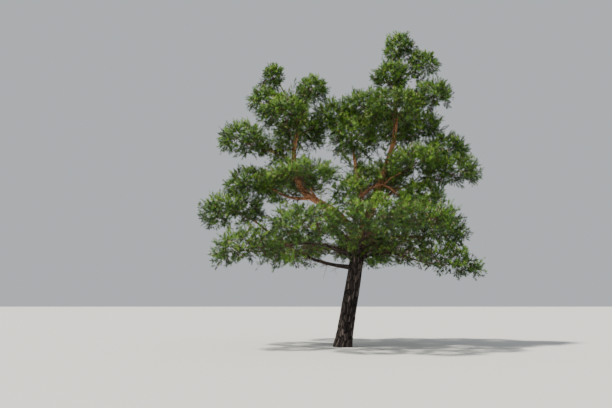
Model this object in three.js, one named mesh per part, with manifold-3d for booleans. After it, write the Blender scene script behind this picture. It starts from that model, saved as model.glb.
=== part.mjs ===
// A pine that grew in the open: a leaning trunk that forks into three leaders, boughs that arch
// out of them, and pads of needles on the boughs. Millimetres, +Z up. The origin is the middle of
// the flat cut through the trunk at ground level, and +X is the side that the trunk leans to.
import * as THREE from 'three';
import { mergeVertices } from 'three/addons/utils/BufferGeometryUtils.js';
import Module from 'manifold-3d';

const wasm = await Module();
wasm.setup();

// Gap between pieces that meet, the clearance that twigs keep from every limb, and the length
// below which an edge of a fused mass is closed up.
const JOINT_GAP = 0.3;
const TWIG_CLEARANCE = 12;
const SMALLEST_EDGE = 0.2;

// How finely curves are measured: points to a bend for a stem's radius, to a stem for the height
// at which a bough leaves, and frames to each step of a limb.
const POINTS_PER_BEND = 40;
const POINTS_PER_STEM = 400;
const FRAMES_PER_STEP = 8;

// Root flare: how much wider the foot is, how fast the flare dies away, and its buttress lobes.
// The trunk starts below the ground and is cut off by a block whose top is the ground.
const FLARE = { share: 0.2, height: 350, lobes: 5, lobeDepth: 0.45 };
const FOOT_BELOW_GROUND = 120;
const GROUND_BLOCK = 2000;

// The stems. Each has a centreline through a few bends, and the radius at each of them. Gather
// above 1 draws the rings towards the foot. The left leader turns sharply upwards, and it is split
// in two at that bend, which lies at a share of its length.
const STEMS = {
  trunk: {
    bark: 'plated_bark',
    sides: 16,
    steps: 21,
    gather: 1.5,
    bends: [
      [-20, 0, -FOOT_BELOW_GROUND],
      [180, 0, 1100],
      [400, 0, 2300],
      [650, 0, 3700],
      [1180, 40, 5200],
      [1990, 40, 7600],
      [2100, 0, 9300],
      [2250, -20, 10700],
    ],
    radii: [288, 270, 256, 225, 140, 85, 52, 24],
  },
  left_leader: {
    bark: 'flaky_bark',
    sides: 10,
    steps: 16,
    gather: 1,
    bends: [
      [600, 0, 3850],
      [-150, -60, 4750],
      [-1450, -90, 5650],
      [-1760, -40, 6900],
      [-1640, 0, 8200],
      [-2120, 20, 9350],
    ],
    radii: [145, 128, 110, 85, 56, 22],
    splitAt: 0.41,
    footName: 'left_leader_foot',
  },
  middle_leader: {
    bark: 'flaky_bark',
    sides: 10,
    steps: 9,
    gather: 1,
    bends: [
      [760, -40, 4250],
      [670, -270, 5300],
      [510, -330, 6400],
      [380, -330, 7350],
    ],
    radii: [105, 88, 58, 24],
  },
};

// The pads of needles. Each belongs to a stem that it leaves at a height, and its middle lies at
// an azimuth from +X, at a reach from that stem and at a height of its own. Size holds the
// half-length along the azimuth, the half-width across it and the half-depth. A pad with a bough
// hangs at that bough's tip, one without has its own stalk from the stem, and one marked crowns
// sits on the stem's tip. Arch is how far the bough bows upwards, as a share of its length.
const PADS = [
  { name: 'low_left', on: 'trunk', leaves: 2780, azimuth: 178, reach: 4520, height: 4900,
    size: [1300, 1500, 740], bough: 74, arch: -0.1 },
  { name: 'low_left_front', on: 'trunk', leaves: 3150, azimuth: 203, reach: 4220, height: 3400,
    size: [1300, 1150, 720], bough: 64, arch: 0.12 },
  { name: 'low_front_left', on: 'trunk', leaves: 3500, azimuth: 237, reach: 3500, height: 4050,
    size: [1300, 1400, 780], bough: 62, arch: 0.1 },
  { name: 'low_front', on: 'trunk', leaves: 3200, azimuth: 276, reach: 3500, height: 4250,
    size: [1250, 1250, 750], bough: 66, arch: 0.08 },
  { name: 'low_front_right', on: 'trunk', leaves: 3650, azimuth: 311, reach: 3000, height: 4300,
    size: [1250, 1200, 750], bough: 60, arch: 0.1 },
  { name: 'low_right_front', on: 'trunk', leaves: 3050, azimuth: 343, reach: 3220, height: 3000,
    size: [1350, 1100, 580], bough: 60, arch: 0.12 },
  { name: 'low_right', on: 'trunk', leaves: 3450, azimuth: 8, reach: 3020, height: 4150,
    size: [1250, 1300, 850], bough: 70, arch: 0.08 },
  { name: 'low_back_right', on: 'trunk', leaves: 3000, azimuth: 48, reach: 3350, height: 3700,
    size: [1300, 1300, 700], bough: 62, arch: 0.12 },
  { name: 'low_back', on: 'trunk', leaves: 3300, azimuth: 82, reach: 3200, height: 3800,
    size: [1200, 1250, 750], bough: 60, arch: 0.12 },
  { name: 'low_back_left', on: 'trunk', leaves: 2950, azimuth: 128, reach: 3700, height: 3700,
    size: [1400, 1350, 700], bough: 64, arch: 0.12 },
  { name: 'mid_left_out', on: 'left_leader', leaves: 5350, azimuth: 183, reach: 2260,
    height: 5850, size: [950, 1100, 660], bough: 70, arch: -0.12 },
  { name: 'mid_left_front', on: 'left_leader', leaves: 5250, azimuth: 252, reach: 1600,
    height: 5900, size: [1150, 1400, 560], bough: 52, arch: 0.08 },
  { name: 'mid_left_back', on: 'left_leader', leaves: 6100, azimuth: 105, reach: 1900,
    height: 6200, size: [1250, 1400, 650], bough: 54, arch: 0.1 },
  { name: 'mid_front', on: 'trunk', leaves: 4450, azimuth: 250, reach: 1700, height: 5300,
    size: [1050, 950, 540] },
  { name: 'mid_right_front', on: 'trunk', leaves: 5500, azimuth: 322, reach: 1650, height: 6550,
    size: [1100, 1050, 520], bough: 46, arch: 0.1 },
  { name: 'mid_right', on: 'trunk', leaves: 5000, azimuth: 0, reach: 2950, height: 6350,
    size: [1250, 1150, 680], bough: 64, arch: 0.1 },
  { name: 'mid_right_low', on: 'middle_leader', leaves: 5300, azimuth: 352, reach: 2200,
    height: 5350, size: [920, 1000, 520], bough: 66, arch: 0.34 },
  { name: 'mid_back', on: 'trunk', leaves: 4800, azimuth: 75, reach: 2300, height: 6550,
    size: [1300, 1350, 750], bough: 60, arch: 0.1 },
  { name: 'middle_crown', on: 'middle_leader', leaves: 7350, azimuth: 80, reach: 250,
    height: 7680, size: [920, 1000, 1120], crowns: true },
  { name: 'left_arm', on: 'left_leader', leaves: 6650, azimuth: 190, reach: 1900, height: 7450,
    size: [1000, 1100, 680], bough: 48, arch: 0.06 },
  { name: 'left_front', on: 'left_leader', leaves: 7200, azimuth: 250, reach: 1000, height: 8300,
    size: [900, 1050, 700] },
  { name: 'left_back', on: 'left_leader', leaves: 7300, azimuth: 85, reach: 1500, height: 8200,
    size: [1100, 1200, 750] },
  { name: 'left_right', on: 'left_leader', leaves: 7700, azimuth: 12, reach: 1400, height: 8500,
    size: [950, 1000, 760] },
  { name: 'left_top_right', on: 'left_leader', leaves: 8250, azimuth: 14, reach: 600,
    height: 9550, size: [660, 700, 620], bough: 30, arch: 0.02 },
  { name: 'left_shoulder', on: 'left_leader', leaves: 8400, azimuth: 182, reach: 1120,
    height: 9050, size: [750, 800, 580] },
  { name: 'left_top', on: 'left_leader', leaves: 9350, azimuth: 180, reach: 460, height: 10000,
    size: [450, 550, 680], crowns: true },
  { name: 'right_out', on: 'trunk', leaves: 6500, azimuth: 5, reach: 2300, height: 7250,
    size: [900, 1050, 620], bough: 48, arch: 0.08 },
  { name: 'right_low', on: 'trunk', leaves: 7100, azimuth: 20, reach: 1350, height: 8150,
    size: [900, 1000, 660] },
  { name: 'right_left', on: 'trunk', leaves: 7900, azimuth: 190, reach: 1200, height: 8800,
    size: [850, 950, 700] },
  { name: 'right_back', on: 'trunk', leaves: 7600, azimuth: 95, reach: 1500, height: 8400,
    size: [1100, 1200, 900] },
  { name: 'right_front', on: 'trunk', leaves: 7700, azimuth: 262, reach: 1100, height: 8500,
    size: [900, 1100, 700] },
  { name: 'right_mid', on: 'trunk', leaves: 8300, azimuth: 355, reach: 1280, height: 9220,
    size: [980, 1000, 600], bough: 34, arch: 0.04 },
  { name: 'right_arm', on: 'trunk', leaves: 9700, azimuth: 350, reach: 1000, height: 10450,
    size: [600, 620, 620] },
  { name: 'right_high', on: 'trunk', leaves: 9250, azimuth: 200, reach: 220, height: 10020,
    size: [720, 950, 600] },
  { name: 'right_top', on: 'trunk', leaves: 10700, azimuth: 0, reach: 20, height: 11150,
    size: [660, 640, 740], crowns: true },
];

// A pad below the level height dips outwards and one above it rises, by so many degrees a metre.
const LEVEL_HEIGHT = 6300;
const TILT_PER_METRE = 4.5;
const MOST_DIP = 16;
const MOST_RISE = 20;

// Boughs: sides, steps, the tip's radius as a share of the foot's and at least, how quickly they
// taper at first, the collar at the foot, the crook that makes them wander, and how near to its
// pad's skin a bough ends, as a share of the way from the middle.
const BOUGH = { sides: 6, steps: 5, tipShare: 0.4, leastTip: 17, taper: 0.8, collar: 0.35,
  crook: 0.045, entry: 0.9 };
const BOUGH_BENDS = [0, 0.25, 0.5, 0.75, 1];

// Inside a pad: its stem, and the twigs that leave the stem. Reaches are shares of the way from
// the pad's middle to its skin, lead is how far a stem keeps its first direction, as a share of
// its run, and first and last are shares of the stem's length. A stem flattens out and then rises.
const PAD_STEM = { sides: 3, steps: 2, reach: 0.5, tip: 9, stalk: 24, lead: 0.5, flatten: 0.3,
  rise: 0.2 };
const TWIG = { count: 3, sides: 3, root: 13, tip: 8, reach: 0.3, first: 0.35, last: 0.95 };

// Sprays of needles are fans with a stalk and pointed teeth that reach the pad's skin. A fan is
// tried at so many rolls about its length, which lie round two steep ones, from so many of the
// nearest roots. Roots lie on the twigs and on the stem, within a share of the pad's middle.
const SPRAYS = 10;
const ROLLS = 12;
const STEEP_ROLLS = [0.28 * Math.PI, 0.72 * Math.PI];
const ROLL_SPREAD = 1.2;
const NEAREST_ROOTS = 3;
const FAN = {
  teeth: 4,
  spread: 58,
  notch: 0.64,
  stalk: 0.2,
  stalkWidth: 0.03,
  thickness: 0.03,
  drawBack: 0.12,
  shortest: 0.5,
};
const FARTHEST_ROOT = 0.6;
const ROOTS_ON_TWIG = [0.92, 0.5];
const ROOTS_ON_STEM = [0.4, 0.54, 0.68, 0.82, 0.95];
const GOLDEN_ANGLE = Math.PI * (3 - Math.sqrt(5));
const LOWEST_SPRAY = -0.6;

// How far past its pad's skin a tooth may end, and how much nearer to its own pad than to any
// other one, both as shares of the pads' half-axes.
const OWN_REACH = 1.06;
const OWN_MARGIN = 0.02;

const COLOURS = {
  plated_bark: { color: 0x4a3f38, roughness: 0.95, metalness: 0 },
  flaky_bark: { color: 0xb0704a, roughness: 0.85, metalness: 0 },
  needles: { color: 0x55703a, roughness: 0.6, metalness: 0 },
};

const radians = THREE.MathUtils.degToRad;
const lerp = THREE.MathUtils.lerp;
const UP = new THREE.Vector3(0, 0, 1);

// A repeatable number from 0 to 1 for each whole number n.
function chance(n) {
  const wave = Math.sin(n * 12.9898 + 4.1414) * 43758.5453;
  return wave - Math.floor(wave);
}

// A stretch of a longer curve, from one share of its length to another.
class Stretch extends THREE.Curve {
  constructor(whole, from, to) {
    super();
    this.whole = whole;
    this.from = from;
    this.to = to;
  }

  getPoint(share, target = new THREE.Vector3()) {
    return this.whole.getPointAt(lerp(this.from, this.to, share), target);
  }
}

// A closed three.js geometry as a solid.
function solid(geometry) {
  const bare = geometry.clone();
  bare.deleteAttribute('normal');
  bare.deleteAttribute('uv');
  const merged = mergeVertices(bare, 1e-3);
  return new wasm.Manifold(
    new wasm.Mesh({
      numProp: 3,
      vertProperties: new Float32Array(merged.attributes.position.array),
      triVerts: new Uint32Array(merged.index.array),
    }),
  );
}

// The largest of the bodies that a cut may leave.
function largest(shape) {
  return shape.decompose().reduce((a, b) => (b.volume() > a.volume() ? b : a));
}

function meshOf(name, shape, look) {
  const { vertProperties, triVerts } = shape.getMesh();
  const geometry = new THREE.BufferGeometry();
  geometry.setAttribute('position', new THREE.BufferAttribute(vertProperties, 3));
  geometry.setIndex(new THREE.BufferAttribute(triVerts, 1));
  const mesh = new THREE.Mesh(geometry, new THREE.MeshStandardMaterial(COLOURS[look]));
  mesh.name = name;
  return mesh;
}

// A cylinder bent along a curve. radiusAt(share, angle, height) gives its radius.
function limb(curve, radiusAt, sides, steps, gather = 1) {
  const geometry = new THREE.CylinderGeometry(1, 1, 1, sides, steps);
  const place = geometry.attributes.position;
  const fine = steps * FRAMES_PER_STEP;
  const frames = curve.computeFrenetFrames(fine, false);
  for (let i = 0; i < place.count; i += 1) {
    const ring = Math.round(fine * (place.getY(i) + 0.5) ** gather);
    const share = ring / fine;
    const point = curve.getPointAt(share);
    const angle = Math.atan2(place.getZ(i), place.getX(i));
    const across = Math.hypot(place.getX(i), place.getZ(i));
    const radius = across * radiusAt(share, angle, point.z);
    point.addScaledVector(frames.normals[ring], radius * Math.cos(angle));
    point.addScaledVector(frames.binormals[ring], -radius * Math.sin(angle));
    place.setXYZ(i, point.x, point.y, point.z);
  }
  return solid(geometry);
}

function stemCurve(name) {
  const bends = STEMS[name].bends.map((bend) => new THREE.Vector3(...bend));
  return new THREE.CatmullRomCurve3(bends, false, 'centripetal');
}

// The radius of a stem at a share of its length, straight between the radii at its bends.
function stemRadius(name, curve) {
  const { radii } = STEMS[name];
  const samples = POINTS_PER_BEND * (radii.length - 1);
  const lengths = curve.getLengths(samples);
  const shares = radii.map((_, k) => lengths[POINTS_PER_BEND * k] / lengths[samples]);
  return (share) => {
    const next = Math.max(1, shares.findIndex((s) => s >= share - 1e-9));
    const part = (share - shares[next - 1]) / (shares[next] - shares[next - 1]);
    return lerp(radii[next - 1], radii[next], part);
  };
}

// The trunk's foot swells into lobes towards the ground.
function flareAt(angle, height) {
  const lobes = 1 + FLARE.lobeDepth * Math.cos(FLARE.lobes * angle);
  return 1 + FLARE.share * lobes * Math.exp(-Math.max(height, 0) / FLARE.height);
}

// A stem from one share of its length to another, swollen by a clearance where it cuts others.
function stem(name, from, to, swell) {
  const { sides, steps, gather } = STEMS[name];
  const curve = stemCurve(name);
  const plain = stemRadius(name, curve);
  const radiusAt = (share, angle, height) => {
    const flare = name === 'trunk' ? flareAt(angle, height) : 1;
    return plain(lerp(from, to, share)) * flare + swell;
  };
  const rings = Math.ceil(steps * (to - from));
  return limb(new Stretch(curve, from, to), radiusAt, sides, rings, gather);
}

// The point on a stem's centreline at a height.
function pointAtHeight(name, height) {
  const samples = stemCurve(name).getSpacedPoints(POINTS_PER_STEM);
  const nearer = (a, b) => (Math.abs(b.z - height) < Math.abs(a.z - height) ? b : a);
  return samples.reduce(nearer);
}

// The frame of a pad: where its stem leaves, its middle, and its three half-axes.
function frameOf(pad) {
  const angle = radians(pad.azimuth);
  const out = new THREE.Vector3(Math.cos(angle), Math.sin(angle), 0);
  const start = pointAtHeight(pad.on, pad.leaves);
  const middle = start.clone().addScaledVector(out, pad.reach).setZ(pad.height);
  const rise = ((pad.height - LEVEL_HEIGHT) / 1000) * TILT_PER_METRE;
  const tilt = radians(THREE.MathUtils.clamp(rise, -MOST_DIP, MOST_RISE));
  const across = new THREE.Vector3(-out.y, out.x, 0);
  const along = out.clone().multiplyScalar(Math.cos(tilt)).addScaledVector(UP, Math.sin(tilt));
  const upward = along.clone().cross(across);
  return { start, middle, axes: [along, across, upward], size: pad.size };
}

// From shares of a pad's half-axes to a place, and back. A place on the skin has length 1.
function placeIn(frame, shares) {
  const place = frame.middle.clone();
  frame.axes.forEach((axis, k) => {
    place.addScaledVector(axis, shares.getComponent(k) * frame.size[k]);
  });
  return place;
}

function sharesOf(frame, place) {
  const offset = place.clone().sub(frame.middle);
  return new THREE.Vector3(...frame.axes.map((axis, k) => offset.dot(axis) / frame.size[k]));
}

function depthIn(frame, place) {
  return sharesOf(frame, place).length();
}

// True where a place is in a pad and nearer to it than to any other, each by its own size.
function isOwn(frame, others, place) {
  const own = depthIn(frame, place);
  return own < OWN_REACH && others.every((other) => depthIn(other, place) > own + OWN_MARGIN);
}

// A bough's route: from the middle of its stem to the skin of its pad on the side that faces the
// stem, bowed upwards and crooked sideways.
function boughCurve(pad, frame, seed) {
  const inward = sharesOf(frame, frame.start).normalize();
  const end = placeIn(frame, inward.multiplyScalar(BOUGH.entry));
  const run = end.clone().sub(frame.start);
  const side = run.clone().cross(UP).normalize();
  const route = BOUGH_BENDS.map((share, k) => {
    const bulge = Math.sin(Math.PI * share) * run.length();
    const crook = (2 * chance(seed + k) - 1) * BOUGH.crook;
    const point = frame.start.clone().addScaledVector(run, share);
    point.addScaledVector(UP, pad.arch * bulge);
    return point.addScaledVector(side, crook * bulge);
  });
  return new THREE.CatmullRomCurve3(route, false, 'centripetal');
}

function boughTip(pad) {
  return Math.max(BOUGH.leastTip, pad.bough * BOUGH.tipShare);
}

function bough(pad, curve, swell) {
  const radiusAt = (share) => {
    const collar = BOUGH.collar * pad.bough * Math.max(0, 1 - share * BOUGH.steps);
    return lerp(pad.bough, boughTip(pad), share ** BOUGH.taper) + collar + swell;
  };
  return limb(curve, radiusAt, BOUGH.sides, BOUGH.steps);
}

// The stem inside a pad, from what carries it to past the pad's middle.
function padStem(frame, from, heading, radius) {
  const onward = sharesOf(frame, from).normalize().negate();
  onward.z = PAD_STEM.flatten * onward.z + PAD_STEM.rise;
  const end = placeIn(frame, onward.multiplyScalar(PAD_STEM.reach));
  const lead = from.distanceTo(end) * PAD_STEM.lead;
  const bend = from.clone().addScaledVector(heading, lead);
  const curve = new THREE.QuadraticBezierCurve3(from, bend, end);
  const radiusAt = (share) => lerp(radius, PAD_STEM.tip, share);
  const spine = curve.getSpacedPoints(PAD_STEM.steps);
  return { spine, shape: limb(curve, radiusAt, PAD_STEM.sides, PAD_STEM.steps) };
}

// The point at a share of a row of evenly spaced points.
function onSpine(spine, share) {
  const at = share * (spine.length - 1);
  const last = Math.floor(at);
  return spine[last].clone().lerp(spine[last + 1], at - last);
}

// Directions spread evenly over a ball, from its top down to the level of the lowest spray.
function evenDirection(k, count, turn) {
  const level = 1 - ((k + 0.5) / count) * (1 - LOWEST_SPRAY);
  const ring = Math.sqrt(1 - level * level);
  const angle = k * GOLDEN_ANGLE + turn;
  return new THREE.Vector3(ring * Math.cos(angle), ring * Math.sin(angle), level);
}

// How far it is from a point inside the unit ball to its skin in a direction.
function toSkin(point, direction) {
  const along = point.dot(direction);
  return Math.sqrt(along * along - point.lengthSq() + 1) - along;
}

// The end of a tooth: on the pad's skin, or drawn back until it is clear of the next pad.
function toothEnd(frame, others, palm, heading) {
  const full = toSkin(palm, heading);
  for (let share = 1; share > FAN.shortest; share -= FAN.drawBack) {
    const end = palm.clone().addScaledVector(heading, share * full);
    if (isOwn(frame, others, placeIn(frame, end))) return end;
  }
  return null;
}

// A fan of needles: a stalk from the root to the palm, and pointed teeth that spread from the
// palm. It is drawn in shares of the pad, where the pad's skin is the unit ball.
function fan(frame, others, root, tip, roll) {
  const axis = tip.clone().sub(root).normalize();
  const side = axis.clone().cross(UP).normalize().applyAxisAngle(axis, roll);
  const face = axis.clone().cross(side).multiplyScalar(FAN.thickness);
  const palm = root.clone().addScaledVector(axis, FAN.stalk);
  const outline = [root, palm.clone().addScaledVector(side, FAN.stalkWidth)];
  for (let k = 0; k < 2 * FAN.teeth - 1; k += 1) {
    const angle = radians(FAN.spread) * (1 - k / (FAN.teeth - 1));
    const heading = axis.clone().multiplyScalar(Math.cos(angle));
    heading.addScaledVector(side, Math.sin(angle));
    const end = toothEnd(frame, others, palm, heading);
    if (!end) return null;
    outline.push(k % 2 ? palm.clone().lerp(end, FAN.notch) : end);
  }
  outline.push(palm.clone().addScaledVector(side, -FAN.stalkWidth));
  const count = outline.length;
  const faces = outline.flatMap((_, k) => {
    const next = (k + 1) % count;
    return [next, k, count, k, next, count + 1];
  });
  const points = [...outline, palm.clone().add(face), palm.clone().sub(face)];
  const places = points.map((shares) => placeIn(frame, shares));
  const geometry = new THREE.BufferGeometry().setFromPoints(places);
  geometry.setIndex(faces);
  return solid(geometry);
}

// The twigs of a pad, spread along its stem and each bound for its own side of the pad.
function twigsOf(frame, stemOfPad, keepOut, turn) {
  const twigs = [];
  for (let t = 0; t < TWIG.count; t += 1) {
    const share = lerp(TWIG.first, TWIG.last, t / (TWIG.count - 1));
    const foot = onSpine(stemOfPad.spine, share);
    const direction = evenDirection(t, TWIG.count, turn).multiplyScalar(TWIG.reach);
    const head = placeIn(frame, direction);
    const curve = new THREE.LineCurve3(foot, head);
    const radiusAt = (along) => lerp(TWIG.root, TWIG.tip, along);
    const shape = limb(curve, radiusAt, TWIG.sides, 1);
    if (shape.intersect(keepOut).isEmpty()) twigs.push({ curve, shape });
  }
  return twigs;
}

// A spray: it leaves the nearest free place on the wood and reaches for its own place on the
// pad's skin, turned about its length until it is clear of limbs and of other sprays.
function spray(tip, roots, frame, others, blocked, seed) {
  roots.sort((a, b) => a.distanceTo(tip) - b.distanceTo(tip));
  const tries = roots.length ? ROLLS : 0;
  for (let n = 0; n < tries; n += 1) {
    const root = roots[n % roots.length % NEAREST_ROOTS];
    const roll = STEEP_ROLLS[n % 2] + ROLL_SPREAD * (chance(seed + 31 * n) - 0.5);
    const made = fan(frame, others, root, tip, roll);
    if (made && blocked.every((shape) => made.intersect(shape).isEmpty())) {
      roots.splice(roots.indexOf(root), 1);
      return made;
    }
  }
  return null;
}

// One pad of foliage, fused into one body.
function foliage(frame, others, stemOfPad, keepOut, seed) {
  const turn = chance(seed) * 2 * Math.PI;
  const twigs = twigsOf(frame, stemOfPad, keepOut, turn);
  const roots = [
    ...twigs.flatMap(({ curve }) => ROOTS_ON_TWIG.map((share) => curve.getPoint(share))),
    ...ROOTS_ON_STEM.map((share) => onSpine(stemOfPad.spine, share)),
  ]
    .map((place) => sharesOf(frame, place))
    .filter((shares) => shares.length() < FARTHEST_ROOT);
  const sprays = [];
  for (let k = 0; k < SPRAYS; k += 1) {
    const tip = evenDirection(k, SPRAYS, turn);
    const made = spray(tip, roots, frame, others, [keepOut, ...sprays], seed + k);
    if (made) sprays.push(made);
  }
  const wood = [stemOfPad.shape, ...twigs.map(({ shape }) => shape)];
  return wasm.Manifold.union([...wood, ...sprays]).asOriginal().simplify(SMALLEST_EDGE);
}

const tree = new THREE.Group();

// The stems, each cut clear of the ones before it, and the left leader in two stretches.
const block = new THREE.BoxGeometry(GROUND_BLOCK, GROUND_BLOCK, GROUND_BLOCK);
const ground = solid(block.translate(0, 0, -GROUND_BLOCK / 2));
const wide = [];
const thicker = [];
Object.entries(STEMS).forEach(([name, { bark, splitAt, footName }]) => {
  const gap = JOINT_GAP / stemCurve(name).getLength();
  const cutters = [...wide, ground];
  const stretches = splitAt
    ? [[footName, 0, splitAt], [name, splitAt + gap, 1]]
    : [[name, 0, 1]];
  stretches.forEach(([piece, from, to]) => {
    const shape = cutters.reduce((rest, cutter) => rest.subtract(cutter), stem(name, from, to, 0));
    tree.add(meshOf(piece, largest(shape), bark));
    wide.push(stem(name, from, Math.min(1, to + gap), JOINT_GAP));
    thicker.push(stem(name, from, to, TWIG_CLEARANCE));
  });
});

// The boughs, cut clear of the stems.
const frames = PADS.map(frameOf);
const routes = PADS.map((pad, k) => (pad.bough ? boughCurve(pad, frames[k], 11 * k + 3) : null));
PADS.forEach((pad, k) => {
  if (!pad.bough) return;
  const shape = wide.reduce((rest, cutter) => rest.subtract(cutter), bough(pad, routes[k], 0));
  thicker.push(bough(pad, routes[k], TWIG_CLEARANCE));
  tree.add(meshOf(`${pad.name}_bough`, largest(shape), 'flaky_bark'));
});

// Each pad's own stem. On a bough or on the tip of a leader it starts a gap beyond it, and from
// the side of a leader it starts in the middle, to be cut clear later.
const padStems = PADS.map((pad, k) => {
  const frame = frames[k];
  if (!pad.bough && !pad.crowns) {
    const heading = frame.middle.clone().sub(frame.start).normalize();
    return padStem(frame, frame.start, heading, PAD_STEM.stalk);
  }
  const carrier = pad.bough ? routes[k] : stemCurve(pad.on);
  const heading = carrier.getTangentAt(1);
  const from = carrier.getPointAt(1).addScaledVector(heading, JOINT_GAP);
  const radius = pad.bough ? boughTip(pad) : STEMS[pad.on].radii.at(-1);
  return padStem(frame, from, heading, radius);
});

// The pads, each clear of every limb, of the other pads' stems and of the pads before it.
let grown = wasm.Manifold.union(thicker);
PADS.forEach((pad, k) => {
  const others = frames.filter((_, other) => other !== k);
  const otherStems = padStems.filter((_, other) => other !== k).map(({ shape }) => shape);
  const keepOut = wasm.Manifold.union([grown, ...otherStems]);
  const whole = foliage(frames[k], others, padStems[k], keepOut, 101 * k + 17);
  const shape = largest(wide.reduce((rest, cutter) => rest.subtract(cutter), whole));
  grown = grown.add(shape);
  tree.add(meshOf(`${pad.name}_foliage`, shape, 'needles'));
});

export default tree;
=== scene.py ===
# %% [markdown]
# A mature pine that grew in the open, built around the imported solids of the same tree. The solids
# give the trunk, the leaders, the boughs and the places of thirty-five pads of foliage. Here the
# wood gets its bark and the pads get twigs and needles, grown by the solids' own rule.

# %% Load the frame
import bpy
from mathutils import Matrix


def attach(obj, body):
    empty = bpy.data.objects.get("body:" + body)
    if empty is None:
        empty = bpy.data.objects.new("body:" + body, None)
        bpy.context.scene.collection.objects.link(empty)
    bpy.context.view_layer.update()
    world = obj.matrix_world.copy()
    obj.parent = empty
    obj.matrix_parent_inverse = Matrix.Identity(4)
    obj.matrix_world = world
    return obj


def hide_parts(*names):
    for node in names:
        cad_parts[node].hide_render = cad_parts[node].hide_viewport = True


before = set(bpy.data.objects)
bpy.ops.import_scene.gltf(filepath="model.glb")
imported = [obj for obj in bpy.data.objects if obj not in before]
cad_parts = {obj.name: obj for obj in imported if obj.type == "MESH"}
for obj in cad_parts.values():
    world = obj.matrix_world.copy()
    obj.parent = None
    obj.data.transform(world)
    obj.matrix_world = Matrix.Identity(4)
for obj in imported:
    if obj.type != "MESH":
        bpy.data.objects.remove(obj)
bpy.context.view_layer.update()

import math

import bpy
import numpy as np

# %% [markdown]
# The photograph was taken 1.6 m above the ground, from about 22 m away. That level lies 97 pixels
# below the middle of the picture, so the camera looks up by the angle of 97 in 595, which is the
# distance to the picture in pixels. The camera comes first, because it decides how fine every
# surface has to be: one pixel at the trunk is 36 mm.

# %% Camera
LEVEL_BELOW_MIDDLE, PICTURE_DISTANCE = 97, 595
LENS, SENSOR_WIDTH, FARTHEST_VIEW = 35, 36, 400
EYE = (-1.31, -21.6, 1.6)
pitch = math.atan(LEVEL_BELOW_MIDDLE / PICTURE_DISTANCE)

camera_data = bpy.data.cameras.new("camera")
camera_data.lens = LENS
camera_data.sensor_width = SENSOR_WIDTH
camera_data.clip_end = FARTHEST_VIEW
camera = bpy.data.objects.new("camera", camera_data)
camera.location = EYE
camera.rotation_euler = (math.pi / 2 + pitch, 0, 0)
bpy.context.scene.collection.objects.link(camera)
bpy.context.scene.camera = camera
print(f"the camera looks up by {math.degrees(pitch):.1f} degrees")

# %% [markdown]
# Every surface below is worked out with numpy as one array of points and one array of faces, and
# goes into its mesh in a single call. That is hundreds of times quicker than adding nine hundred
# thousand needles one by one.

# %% From arrays to a piece
def piece_of(name, points, faces, material, slot, replaced=(), smooth=True, attributes=None):
    """A mesh object from points (n, 3) and faces (m, 3) or (m, 4), or a list of such faces. An
    attribute has one number for each point."""
    groups = faces if isinstance(faces, list) else [faces]
    mesh = bpy.data.meshes.new(name)
    mesh.vertices.add(len(points))
    mesh.vertices.foreach_set("co", np.ascontiguousarray(points, np.float32).ravel())
    loops = np.concatenate([group.ravel() for group in groups])
    totals = np.concatenate([np.full(len(group), group.shape[1]) for group in groups])
    starts = np.cumsum(totals) - totals
    mesh.loops.add(len(loops))
    mesh.loops.foreach_set("vertex_index", loops.astype(np.int32))
    mesh.polygons.add(len(totals))
    mesh.polygons.foreach_set("loop_start", starts.astype(np.int32))
    mesh.polygons.foreach_set("loop_total", totals.astype(np.int32))
    mesh.polygons.foreach_set("use_smooth", np.full(len(totals), smooth))
    for key, values in (attributes or {}).items():
        layer = mesh.attributes.new(key, "FLOAT", "POINT")
        layer.data.foreach_set("value", np.ascontiguousarray(values, np.float32).ravel())
    mesh.update(calc_edges=True)
    for one in material if isinstance(material, list) else [material]:
        mesh.materials.append(one)
    piece = bpy.data.objects.new(name, mesh)
    bpy.context.scene.collection.objects.link(piece)
    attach(piece, "root")
    if replaced:
        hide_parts(*replaced)
    print(f"{name}: {(totals - 2).sum()} triangles")
    return piece


# %% [markdown]
# A limb's centreline is a smooth curve through a few bends. The solids use a centripetal
# Catmull-Rom curve, which never loops or overshoots where bends lie close together, so the same
# curve is written out here. It is then measured, because radii and bark go by the distance along
# the limb.

# %% Curves
SAMPLES_PER_BEND, LOOK_AHEAD = 40, 0.02
CHANCE_RATE, CHANCE_START, CHANCE_SIZE = 12.9898, 4.1414, 43758.5453


def smooth_route(bends):
    """Centripetal Catmull-Rom: between two bends, the cubic whose end slopes come from the
    square roots of the distances to the neighbouring bends. Each end is carried on straight."""
    bends = np.asarray(bends, float)
    rows = np.vstack([2 * bends[0] - bends[1], bends, 2 * bends[-1] - bends[-2]])
    knots = np.linalg.norm(np.diff(rows, axis=0), axis=1) ** 0.5
    before, at, ahead, beyond = rows[:-3], rows[1:-2], rows[2:-1], rows[3:]
    d0, d1, d2 = knots[:-2, None], knots[1:-1, None], knots[2:, None]
    leave = ((at - before) / d0 - (ahead - before) / (d0 + d1) + (ahead - at) / d1) * d1
    arrive = ((ahead - at) / d1 - (beyond - at) / (d1 + d2) + (beyond - ahead) / d2) * d1
    t = (np.arange(SAMPLES_PER_BEND) / SAMPLES_PER_BEND)[None, :, None]
    at, ahead, leave, arrive = (part[:, None, :] for part in (at, ahead, leave, arrive))
    square = -3 * at + 3 * ahead - 2 * leave - arrive
    cube = 2 * at - 2 * ahead + leave + arrive
    spans = at + leave * t + square * t**2 + cube * t**3
    return np.vstack([spans.reshape(-1, 3), bends[-1]])


def distances(route):
    """The distance along a route at each of its points, from 0."""
    return np.concatenate([[0], np.cumsum(np.linalg.norm(np.diff(route, axis=0), axis=1))])


def unit(vectors):
    """Vectors divided by their own lengths."""
    return vectors / np.maximum(np.linalg.norm(vectors, axis=-1, keepdims=True), 1e-12)


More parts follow.
